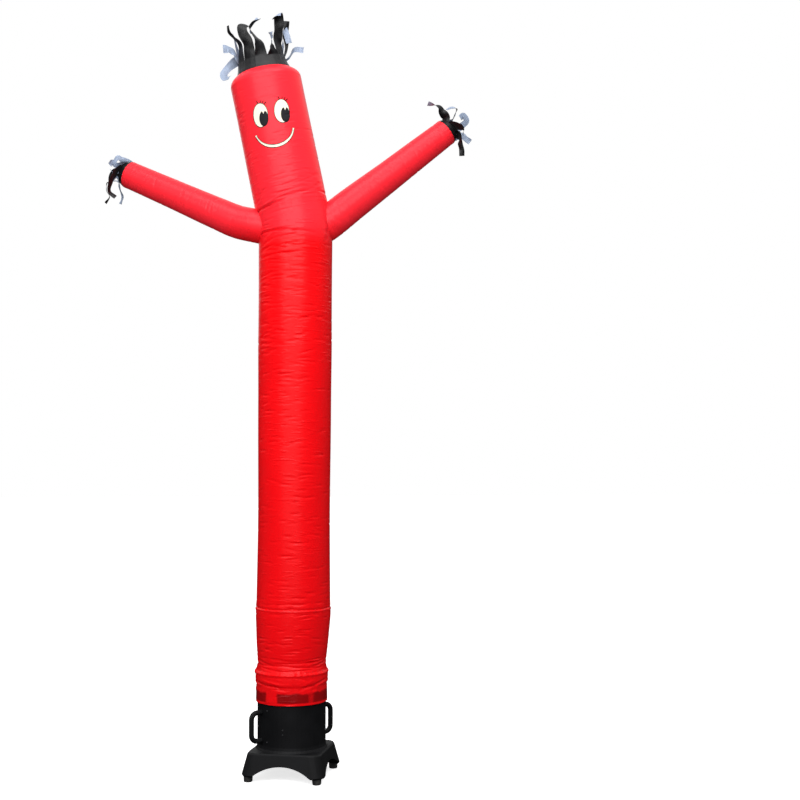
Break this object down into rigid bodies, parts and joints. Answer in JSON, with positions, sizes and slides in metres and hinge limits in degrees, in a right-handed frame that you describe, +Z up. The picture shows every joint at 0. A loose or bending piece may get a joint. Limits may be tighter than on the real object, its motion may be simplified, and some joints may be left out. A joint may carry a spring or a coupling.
{
  "type": "inflatable air dancer on blower",
  "caption": "Tall red nylon tube figure with a face, raised arms and black fringes, blown up and standing on the round blower that its cuff fits over",
  "frame": {"origin": "On the floor, under the middle of the whole dancer's box, arms and fringes included; the blower's axis stands 27 mm right of it and 70 mm in front of it", "axes": "+Z up, -Y the way the face looks, +X to the right of someone who faces the dancer"},
  "size_m": [1.6467, 0.5605, 3.2766],
  "materials": {
    "red_nylon": "satin",
    "black_nylon": "satin",
    "white_nylon": "matte",
    "pupil_black": "satin",
    "black_plastic": "satin",
    "black_rubber": "matte",
    "dark_screws": "satin"
  },
  "bodies": {
    "root": {"arm_left": "red_nylon", "arm_right": "red_nylon", "base_cuff": "red_nylon", "blower_base": "black_plastic", "blower_housing": "black_plastic", "body_tube": "red_nylon", "eye_left": "white_nylon", "eye_right": "white_nylon", "foot_1": "black_rubber", "foot_2": "black_rubber", "foot_3": "black_rubber", "foot_4": "black_rubber", "hair_fringe": "black_nylon", "hand_fringe_left": "black_nylon", "hand_fringe_right": "black_nylon", "handle_back": "black_plastic", "handle_front": "black_plastic", "head_panel": "red_nylon", "lower_panel": "red_nylon", "mouth": "white_nylon", "outlet_grille": "dark_screws", "pupil_left": "pupil_black", "pupil_right": "pupil_black", "rim_guard": "black_plastic", "screw_1_high": "dark_screws", "screw_1_low": "dark_screws", "screw_2_high": "dark_screws", "screw_2_low": "dark_screws", "screw_3_high": "dark_screws", "screw_3_low": "dark_screws", "screw_4_high": "dark_screws", "screw_4_low": "dark_screws", "screw_handle_back_high": "dark_screws", "screw_handle_back_low": "dark_screws", "screw_handle_front_high": "dark_screws", "screw_handle_front_low": "dark_screws"}
  },
  "joints": []
}
